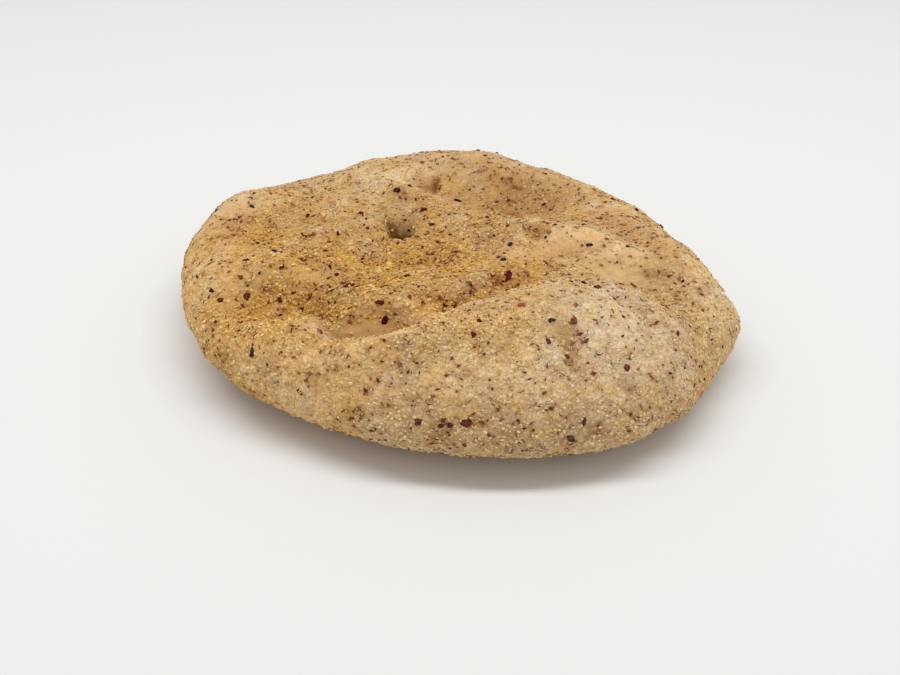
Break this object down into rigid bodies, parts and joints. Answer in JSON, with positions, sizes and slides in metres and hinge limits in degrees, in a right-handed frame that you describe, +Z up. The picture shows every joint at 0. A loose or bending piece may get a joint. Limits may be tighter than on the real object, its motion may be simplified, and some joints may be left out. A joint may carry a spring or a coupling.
{
  "type": "mini focaccia",
  "caption": "Small flat round bread with a dimpled, cracked crust, a thick rolled front edge and a dusting of coarse meal and dark husk flakes.",
  "frame": {"origin": "middle of the flat base, at the height of the table", "axes": "+X along the loaf's longest way, +Z up, the thick rolled edge towards -Y"},
  "size_m": [0.1142, 0.1007, 0.0261],
  "materials": {
    "crust": "matt baked crust dusted with coarse meal"
  },
  "bodies": {
    "root": {"focaccia": "crust"}
  },
  "joints": []
}
